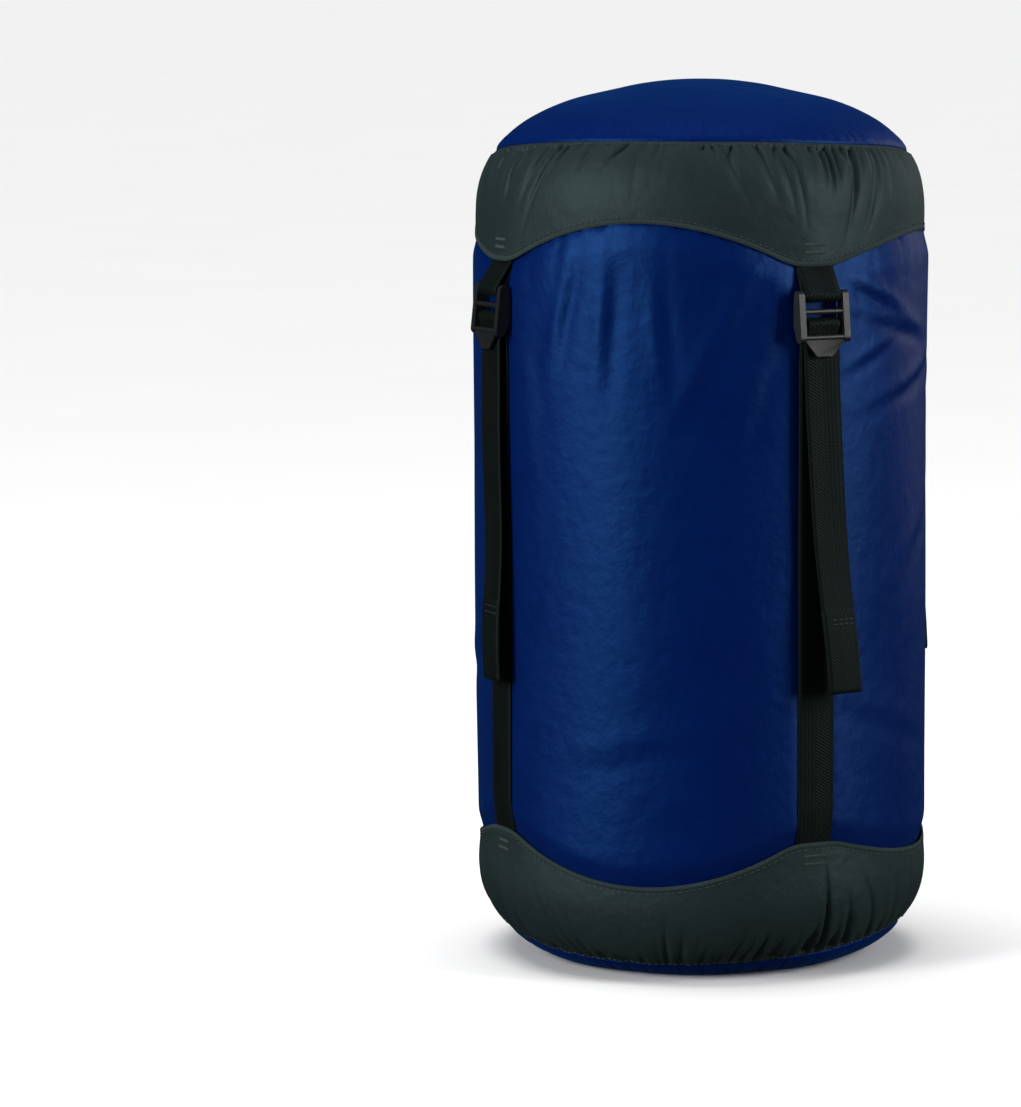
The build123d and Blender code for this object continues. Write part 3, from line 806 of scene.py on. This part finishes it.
# ---- operators: one for each piece or group of like pieces ----
class SACK_OT_tube(bpy.types.Operator):
    """Make the fabric tube"""
    bl_idname = "sack.tube"
    bl_label = "Tube"

    def execute(self, context):
        base, lid = make_caps()
        columns, rows = 308, 134
        phi = np.linspace(-math.pi, math.pi, columns, endpoint=False)[None, :]
        z = np.linspace(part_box("sack_tube")[0].z, TUBE_TOP, rows)[:, None]
        r = tube_radius(base, lid, phi, z) + tube_creases(base, lid, *np.broadcast_arrays(phi, z))
        turns = np.linspace(-math.pi, math.pi, columns + 1)[None, :] * TUBE_RADIUS
        mesh = grid_mesh("tube_fabric", round_spots(phi, r, z), chart_of(turns, z), wrap=True)
        piece = new_piece(mesh, "blue_nylon")
        thicken(piece, context.scene.sack_sizes.fabric)
        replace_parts(piece, "sack_tube")
        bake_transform(piece)
        tape = copy_of_node("tube_seam_tape", "seam_tape", "binding_tape")
        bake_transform(tape)
        return {"FINISHED"}


def copy_of_node(node, name, slot, bevel=0.0):
    """A merged copy of a CAD node, with its edges eased, that stands for the node."""
    work = bmesh.new()
    work.from_mesh(frame["nodes"][node].data)
    bmesh.ops.remove_doubles(work, verts=work.verts, dist=0.00001)
    bmesh.ops.dissolve_limit(work, angle_limit=math.radians(2), verts=work.verts, edges=work.edges)
    mesh = bpy.data.meshes.new(name)
    work.to_mesh(mesh)
    work.free()
    piece = new_piece(mesh, slot)
    if bevel:
        mesh.shade_flat()
        ease = piece.modifiers.new("eased edges", "BEVEL")
        ease.width = bevel
        ease.segments = 2
        ease.limit_method = "ANGLE"
        ease.angle_limit = math.radians(38)
        mesh.set_sharp_from_angle(angle=math.radians(40))
        mesh.shade_smooth()
    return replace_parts(piece, node)


def build_cap(cap, body, names, seam_name):
    """The lens panel, front panel and rear panel of one cap."""
    sizes = bpy.context.scene.sack_sizes
    columns = 960
    phi = np.linspace(0, math.tau, columns, endpoint=False)[None, :] + cap.turn + math.pi / 2
    seam = cap.share_at_seam(phi)
    hem = cap.share_at_height(cap.hem_height(phi))
    flip = cap.up > 0
    t = np.r_[-0.03, np.linspace(0, 1, 46) ** 1.15][:, None]
    for name, first in ((names[2], 0), (names[1], columns // 2)):
        part = slice(first, first + columns // 2 + 1)
        around = np.hstack([phi, phi[:, :1] + math.tau])[:, part]
        start = np.hstack([seam, seam[:, :1]])[:, part]
        end = np.hstack([hem, hem[:, :1]])[:, part]
        share = start + (end - start) * t
        lift = cap.band_lift(*np.broadcast_arrays(around, t))
        lift[0] = -2.4 * MM
        spots = cap.place(around, share, lift)
        chart = chart_of(around * TUBE_RADIUS, share * cap.length)
        mesh = grid_mesh(name + "_fabric", spots, chart, flip=flip)
        piece = new_piece(mesh, "charcoal_nylon")
        thicken(piece, sizes.fabric)
        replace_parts(piece, name)
        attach(piece, body)
    around = phi[:, ::2]
    q = np.linspace(0, 0.985, 60)[:, None] ** 1.1
    share = cap.share_at_seam(around) * (1 - q)
    spots = cap.place(around, share, cap.lens_lift(*np.broadcast_arrays(around, q)))
    pole = spots[-1].mean(0)
    chart_phi = np.hstack([around, around[:, :1] + math.tau])
    ring = np.hstack([share, share[:, :1]]) * cap.length
    chart = np.stack([ring * np.cos(chart_phi), ring * np.sin(chart_phi)], -1)
    mesh = grid_mesh(names[0] + "_fabric", spots, chart, wrap=True, flip=not flip, pole=pole)
    piece = new_piece(mesh, "blue_nylon")
    thicken(piece, sizes.fabric)
    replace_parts(piece, names[0])
    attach(piece, body)
    edge = phi[0]
    topstitch = cap.share_at_seam(edge) + 2.6 * MM / cap.length
    stitch_lift = cap.band_lift(edge, (topstitch - seam[0]) / (hem[0] - seam[0])) + 0.15 * MM
    seam_row = stitches_along(cap.place(edge, topstitch, stitch_lift))
    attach(stitched(seam_name, seam_row), body)


class SACK_OT_base_cap(bpy.types.Operator):
    """Make the base's bottom, front and rear panels"""
    bl_idname = "sack.base_cap"
    bl_label = "Base cap"

    def execute(self, context):
        build_cap(make_caps()[0], "base", ("base_bottom_panel", "base_front_panel", "base_rear_panel"),
                  "base_seam_stitches")
        return {"FINISHED"}


class SACK_OT_lid_cap(bpy.types.Operator):
    """Make the lid's top, front and rear panels"""
    bl_idname = "sack.lid_cap"
    bl_label = "Lid cap"

    def execute(self, context):
        build_cap(make_caps()[1], "lid", ("lid_top_panel", "lid_front_panel", "lid_rear_panel"),
                  "lid_seam_stitches")
        return {"FINISHED"}


class SACK_OT_hem_bindings(bpy.types.Operator):
    """Make the folded tape on both hems, with its stitching"""
    bl_idname = "sack.hem_bindings"
    bl_label = "Hem bindings"

    def execute(self, context):
        sizes = context.scene.sack_sizes
        rows, points = 720, 12
        for cap, body in zip(make_caps(), ("base", "lid")):
            phi = np.linspace(0, math.tau, rows, endpoint=False)[:, None]
            hem = cap.share_at_height(cap.hem_height(phi))
            edge_lift = cap.band_lift(phi, np.full_like(phi, 0.97))
            turn = np.linspace(0, math.tau, points, endpoint=False)[None, :]
            along = np.sign(np.cos(turn)) * np.abs(np.cos(turn)) ** 0.5 * sizes.binding / 2
            raised = np.sign(np.sin(turn)) * np.abs(np.sin(turn)) ** 0.7 * sizes.binding_thick / 2
            share = hem + (along - sizes.binding / 2 + 0.4 * MM) / cap.length
            lift = edge_lift + raised - sizes.fabric / 2
            spots = cap.place(np.broadcast_to(phi, share.shape), share, lift)
            rounds = np.arange(points + 1) / points * 2 * sizes.binding
            chart = chart_of(rounds[None, :] - sizes.binding,
                             np.r_[phi[:, 0], math.tau][:, None] * TUBE_RADIUS)
            mesh = closed_ring(body + "_binding_tape", spots, chart)
            piece = new_piece(mesh, "binding_tape")
            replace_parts(piece, body + "_hem_binding")
            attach(piece, body)
            row_share = hem[:, 0] - 3.0 * MM / cap.length
            row_lift = edge_lift[:, 0] + sizes.binding_thick / 2 - sizes.fabric / 2 + 0.05 * MM
            row = stitches_along(cap.place(phi[:, 0], row_share, row_lift))
            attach(stitched(body + "_hem_stitches", row), body)
        return {"FINISHED"}


def strap_seat(base, lid, angle, z):
    """Reach of webbing that lies on the tube at this height."""
    phi = np.full_like(z, math.radians(angle))
    return tube_radius(base, lid, phi, z) - TUBE_RADIUS + 1.05 * MM


class SACK_OT_base_straps(bpy.types.Operator):
    """Make the four straps that rise from the base, each with a separate length that runs up to its buckle"""
    bl_idname = "sack.base_straps"
    bl_label = "Base straps"

    def execute(self, context):
        base, lid = make_caps()
        link_length = 40 * MM
        link_foot = STRAP_TOP - link_length
        overlap = 0.4 * MM
        keep = (link_foot - TRAVEL - STRAP_FOOT) / (link_foot - STRAP_FOOT)
        for station, angle in STATIONS.items():
            z = np.linspace(STRAP_FOOT, link_foot, 24)
            path = [*zip(strap_seat(base, lid, angle, z), z)]
            mesh = webbing_mesh(f"base_webbing_{station}", angle, path, 100)
            piece = new_piece(mesh, "webbing")
            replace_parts(piece, f"base_strap_{station}")
            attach(piece, "base")
            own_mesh(piece)
            z = np.linspace(link_foot - overlap, STRAP_TOP - 18 * MM, 5)
            path = [*zip(strap_seat(base, lid, angle, z), z), (0.6 * MM, STRAP_TOP - 7 * MM),
                    (1.0 * MM, STRAP_TOP + overlap)]
            mesh = webbing_mesh(f"link_webbing_{station}", angle, path, 44)
            link = new_piece(mesh, "webbing")
            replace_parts(link, f"base_strap_{station}")
            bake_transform(link)
        return {"FINISHED"}


class SACK_OT_lid_tabs(bpy.types.Operator):
    """Make the four webbing loops that hold the buckles"""
    bl_idname = "sack.lid_tabs"
    bl_label = "Lid tabs"

    def execute(self, context):
        bar = 4.0 * MM
        loop = 2.65 * MM
        for station, angle in STATIONS.items():
            round_bar = [(bar - loop * math.cos(a), BAR_Z - loop * math.sin(a))
                         for a in np.linspace(-0.35, math.pi + 0.75, 9)]
            path = [(-4.9 * MM, LID_POINT + 9 * MM), (-4.4 * MM, LID_POINT + 1 * MM),
                    (-1.6 * MM, LID_POINT - 6 * MM), *round_bar,
                    (0.4 * MM, LID_POINT - 4.4 * MM), (-2.6 * MM, LID_POINT + 0.6 * MM),
                    (-3.3 * MM, LID_POINT + 9 * MM)]
            mesh = webbing_mesh(f"lid_webbing_{station}", angle, path, 90)
            piece = new_piece(mesh, "webbing")
            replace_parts(piece, f"lid_tab_{station}")
            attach(piece, "lid")
        return {"FINISHED"}


class SACK_OT_strap_tails(bpy.types.Operator):
    """Make the webbing that turns over each grip bar, and the free tails with their stitched ends"""
    bl_idname = "sack.strap_tails"
    bl_label = "Strap turns and tails"

    def execute(self, context):
        sizes = context.scene.sack_sizes
        turn_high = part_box("strap_turn_front_right")[1]
        radius = 2.6 * MM
        grip = (3.6 * MM, turn_high.z - radius - sizes.webbing_thick / 2)
        lie = 4.7 * MM
        # Sideways drift and outward swing in millimetres, and twist in degrees, of each free tail.
        habits = {"front_left": (5, 2, -4), "front_right": (9, 9, 8), "rear_right": (-7, 7, -8),
                  "rear_left": (6, 6, 9)}
        for station, angle in STATIONS.items():
            over = [(grip[0] - radius * math.cos(a), grip[1] + radius * math.sin(a))
                    for a in np.linspace(0, math.pi, 7)]
            path = [(1.0 * MM, grip[1] - 0.9 * MM), *over, (lie + 0.7 * MM, grip[1] - 3.6 * MM),
                    (lie, grip[1] - 7 * MM), (lie, TAIL_Z + 3 * MM), (lie, TAIL_Z - 0.5 * MM)]
            mesh = webbing_mesh(f"turned_webbing_{station}", angle, path, 60)
            piece = new_piece(mesh, "webbing")
            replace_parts(piece, f"strap_turn_{station}")
            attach(piece, f"buckle_{station}")
            drift, swing, twist = habits[station]
            share = np.linspace(0, 1, 9)
            tail = [(lie + swing * MM * s ** 1.6 + 1.3 * MM * s * math.sin(9 * s),
                     TAIL_Z + 0.3 * MM - s * (TAIL_Z - TAIL_END)) for s in share]
            mesh = webbing_mesh(f"tail_webbing_{station}", angle, tail, TAIL_ROWS, drift=drift * MM,
                                twist=math.radians(twist), doubled=sizes.fold)
            piece = new_piece(mesh, "webbing")
            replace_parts(piece, f"strap_tail_{station}")
            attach(piece, f"tail_{station}")
            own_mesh(piece)
            rows = self.fold_stitches(mesh, sizes)
            thread = stitched(f"tail_stitches_{station}", rows)
            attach(thread, f"tail_{station}")
            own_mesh(thread)
        return {"FINISHED"}

    def fold_stitches(self, mesh, sizes):
        """Two rows across the doubled end, on both faces."""
        spots = np.array([v.co for v in mesh.vertices]).reshape(TAIL_ROWS, 2 * FACE_POINTS, 3)
        run = run_along(spots[:, FACE_POINTS // 2])
        from_end = run[-1] - run
        rows = []
        for depth in (sizes.fold - 3.0 * MM, sizes.fold - 6.0 * MM):
            ring = spots[np.abs(from_end - depth).argmin()]
            middle = ring.mean(0)
            for face in (ring[1:FACE_POINTS - 1], ring[FACE_POINTS + 1:-1]):
                away = face.mean(0) - middle
                away /= np.linalg.norm(away)
                rows.append(stitches_along(face + away * 0.05 * MM, closed=False))
        return np.concatenate(rows)


class SACK_OT_buckles(bpy.types.Operator):
    """Make the four ladder-lock buckles"""
    bl_idname = "sack.buckles"
    bl_label = "Buckles"

    def execute(self, context):
        for station in STATIONS:
            piece = copy_of_node(f"buckle_{station}", f"ladder_lock_{station}", "buckle_plastic",
                                 bevel=0.5 * MM)
            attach(piece, f"buckle_{station}")
        return {"FINISHED"}


class SACK_OT_label(bpy.types.Operator):
    """Make the plain woven label on the rear"""
    bl_idname = "sack.label"
    bl_label = "Rear label"

    def execute(self, context):
        base, lid = make_caps()
        low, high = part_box("rear_label")
        half = (high.x - low.x) / 2
        z = np.linspace(low.z, high.z, 25)[:, None]
        phi = math.pi + np.linspace(-1, 1, 15)[None, :] * half / TUBE_RADIUS
        lie = tube_radius(base, lid, phi, z) + tube_creases(base, lid, *np.broadcast_arrays(phi, z))
        spots = round_spots(phi, lie + 0.75 * MM, z)
        chart = chart_of((phi - math.pi) * TUBE_RADIUS, z - z.mean())
        mesh = grid_mesh("label_patch", spots, chart)
        piece = new_piece(mesh, "label")
        thicken(piece, 0.6 * MM)
        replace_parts(piece, "rear_label")
        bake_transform(piece)
        ring = np.concatenate([spots[2, 1:-1], spots[2:-2, -2], spots[-3, 1:-1][::-1],
                               spots[2:-2, 1][::-1]])
        thread = stitched("label_stitches", stitches_along(ring))
        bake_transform(thread)
        return {"FINISHED"}


class SACK_OT_mouth(bpy.types.Operator):
    """Make the drawn mouth under the lid: a gathered collar and its cord channel"""
    bl_idname = "sack.mouth"
    bl_label = "Drawn mouth"

    def execute(self, context):
        sizes = context.scene.sack_sizes
        low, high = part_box("mouth_collar")
        channel_low, channel_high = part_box("drawcord_channel")
        hole = channel_high.x
        columns, rows, points = 360, 40, 14
        phi = np.linspace(0, math.tau, columns, endpoint=False)[None, :]
        s = np.linspace(0, 1, rows)[:, None]
        line = smooth_line([(high.x - 4 * MM, low.z + 0.4 * MM), (0.83 * TUBE_RADIUS, low.z + 7 * MM),
                            (0.51 * TUBE_RADIUS, channel_low.z - 2 * MM),
                            (hole, channel_low.z + 2.2 * MM)], rows)
        folds = Folds(sizes.seed + 30, 60, 0.02, 0.05)
        lift = -1.6 * MM * folds.depth_at(phi, 1 - s, lambda centre: 1.0) * smoothstep(s, 0.0, 0.5)
        spots = round_spots(phi, line[:, :1], line[:, 1:] + lift)
        turns = np.linspace(0, math.tau, columns + 1)[None, :] * TUBE_RADIUS
        mesh = grid_mesh("collar_fabric", spots, chart_of(turns, s * 0.09), wrap=True)
        piece = new_piece(mesh, "blue_nylon")
        thicken(piece, sizes.fabric)
        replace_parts(piece, "mouth_collar")
        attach(piece, "mouth")
        radius = (channel_high.z - channel_low.z) / 2
        phi = phi.T
        turn = np.linspace(0, math.tau, points, endpoint=False)[None, :]
        swell = radius * (0.9 + 0.1 * np.sin(46 * phi))
        ring = round_spots(phi, hole - radius + swell * np.cos(turn),
                           channel_low.z + radius + swell * np.sin(turn))
        chart = chart_of(np.arange(points + 1)[None, :] * MM - 7 * MM,
                         np.linspace(0, 0.16, columns + 1)[:, None])
        mesh = closed_ring("channel_roll", ring, chart)
        piece = new_piece(mesh, "binding_tape")
        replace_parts(piece, "drawcord_channel")
        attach(piece, "mouth")
        return {"FINISHED"}


class SACK_OT_bartacks(bpy.types.Operator):
    """Make the dense bars of stitching at the hem points"""
    bl_idname = "sack.bartacks"
    bl_label = "Bartacks"

    def execute(self, context):
        half = 6.0 * MM
        for cap, body in zip(make_caps(), ("base", "lid")):
            box_low, box_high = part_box(body + "_bartacks")
            bars = []
            for angle in STATIONS.values():
                for height in (box_low.z + 0.8 * MM, box_high.z - 0.8 * MM):
                    phi = math.radians(angle) + np.linspace(-half, half, 22) / TUBE_RADIUS
                    share = cap.share_at_height(np.full_like(phi, height))
                    start = cap.share_at_seam(phi)
                    end = cap.share_at_height(cap.hem_height(phi))
                    lift = cap.band_lift(phi, (share - start) / (end - start)) + 0.05 * MM
                    high = cap.place(phi, share - 0.9 * MM / cap.length, lift)
                    low = cap.place(phi, share + 0.9 * MM / cap.length, lift)
                    bars.append(np.stack([low[:-1], high[1:]], 1))
                    bars.append(np.stack([high[:-1], low[1:]], 1))
            piece = stitched(body + "_bartack_threads", np.concatenate(bars))
            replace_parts(piece, body + "_bartacks")
            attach(piece, body)
        return {"FINISHED"}


class SACK_OT_stage(bpy.types.Operator):
    """Make the floor, the soft light and the camera"""
    bl_idname = "sack.stage"
    bl_label = "Stage"

    def execute(self, context):
        stage = context.scene.sack_stage
        bpy.ops.mesh.primitive_circle_add(vertices=64, radius=60.0, fill_type="NGON")
        floor = context.object
        floor.name = "floor"
        paper = Finish("pale_paper", specular_ior_level=0.2)
        tone = paper.noise(3.0, 2.0)
        floor.data.materials.append(paper.feed(
            Base_Color=paper.mix(tone, (0.86, 0.86, 0.865), (0.88, 0.88, 0.885)),
            Roughness=tone * 0.1 + 0.75))
        floor.visible_glossy = False
        floor.visible_diffuse = False
        self.backdrop()
        world = bpy.data.worlds.new("pale_room")
        world.use_nodes = True
        air = world.node_tree.nodes["Background"].inputs
        air["Color"].default_value = (1.0, 1.0, 1.0, 1.0)
        air["Strength"].default_value = 0.25
        world.cycles_visibility.glossy = False
        context.scene.world = world
        context.scene.view_settings.view_transform = "Standard"
        self.softbox("key_light", (-39, 2.2, 0.85), width=0.7, height=1.5, power=46.0)
        self.softbox("side_light", (86, 1.9, 0.80), width=0.45, height=1.3, power=27.0)
        self.softbox("rim_light", (150, 1.9, 0.80), width=0.45, height=1.3, power=2.5)
        overhead = bpy.data.lights.new("overhead_light", "SUN")
        overhead.energy = 2.7
        overhead.angle = math.radians(50.0)
        lamp = bpy.data.objects.new("overhead_light", overhead)
        lamp.rotation_euler = (math.radians(-6.0), math.radians(-8.0), 0.0)
        lamp.visible_glossy = False
        context.scene.collection.objects.link(lamp)
        data = bpy.data.cameras.new("camera")
        data.lens = stage.lens
        data.shift_x = stage.shift
        data.clip_end = 200.0
        camera = bpy.data.objects.new("camera", data)
        context.scene.collection.objects.link(camera)
        back = Vector((math.sin(stage.azimuth), -math.cos(stage.azimuth), 0.0))
        camera.location = back * stage.distance + Vector((0.0, 0.0, stage.height))
        sight = -back * math.cos(stage.pitch) - Vector((0.0, 0.0, math.sin(stage.pitch)))
        camera.rotation_euler = sight.to_track_quat("-Z", "Y").to_euler()
        context.scene.camera = camera
        return {"FINISHED"}

    def backdrop(self):
        """A white shell beyond the floor, which only fills the view and lights nothing."""
        bpy.ops.mesh.primitive_uv_sphere_add(segments=48, ring_count=24, radius=58.0)
        shell = bpy.context.object
        shell.name = "backdrop"
        white = Finish("white_backdrop", emission_strength=1.0, emission_color=opaque((0.90, 0.90, 0.905)),
                       base_color=opaque((0.0, 0.0, 0.0)), specular_ior_level=0.0)
        shell.data.materials.append(white.material)
        for ray in ("diffuse", "glossy", "transmission", "volume_scatter", "shadow"):
            setattr(shell, f"visible_{ray}", False)

    def softbox(self, name, place, width, height, power):
        """An area light at (angle from the front, distance, height), aimed at the sack's middle."""
        angle, distance, z = place
        data = bpy.data.lights.new(name, "AREA")
        data.shape = "RECTANGLE"
        data.size = width
        data.size_y = height
        data.energy = power
        lamp = bpy.data.objects.new(name, data)
        bpy.context.scene.collection.objects.link(lamp)
        phi = math.radians(angle)
        lamp.location = Vector((distance * math.sin(phi), -distance * math.cos(phi), z))
        aim = Vector((0.0, 0.0, 0.5 * TOP)) - lamp.location
        lamp.rotation_euler = aim.to_track_quat("-Z", "Y").to_euler()


BUILDERS = (SACK_OT_tube, SACK_OT_base_cap, SACK_OT_lid_cap, SACK_OT_hem_bindings,
            SACK_OT_base_straps, SACK_OT_lid_tabs, SACK_OT_strap_tails, SACK_OT_buckles,
            SACK_OT_label, SACK_OT_mouth, SACK_OT_bartacks, SACK_OT_stage)


class SACK_PT_panel(bpy.types.Panel):
    """Lists the pieces of the sack"""
    bl_idname = "SACK_PT_panel"
    bl_label = "Compression Sack"
    bl_space_type = "VIEW_3D"
    bl_region_type = "UI"
    bl_category = "Sack"

    def draw(self, context):
        for builder in BUILDERS:
            self.layout.operator(builder.bl_idname)


GROUPS = ((SackSizes, "sack_sizes"), (SackColours, "sack_colours"), (StageSettings, "sack_stage"))


def register():
    for group, name in GROUPS:
        bpy.utils.register_class(group)
        setattr(bpy.types.Scene, name, bpy.props.PointerProperty(type=group))
    for cls in (*BUILDERS, SACK_PT_panel):
        bpy.utils.register_class(cls)


def unregister():
    for cls in reversed((*BUILDERS, SACK_PT_panel)):
        bpy.utils.unregister_class(cls)
    for group, name in reversed(GROUPS):
        delattr(bpy.types.Scene, name)
        bpy.utils.unregister_class(group)


def main():
    """Build every piece in order."""
    register()
    for builder in BUILDERS:
        section, call = builder.bl_idname.split(".")
        if getattr(getattr(bpy.ops, section), call)() != {"FINISHED"}:
            raise RuntimeError(f"{builder.bl_label} didn't finish")


if __name__ == "__main__":
    main()
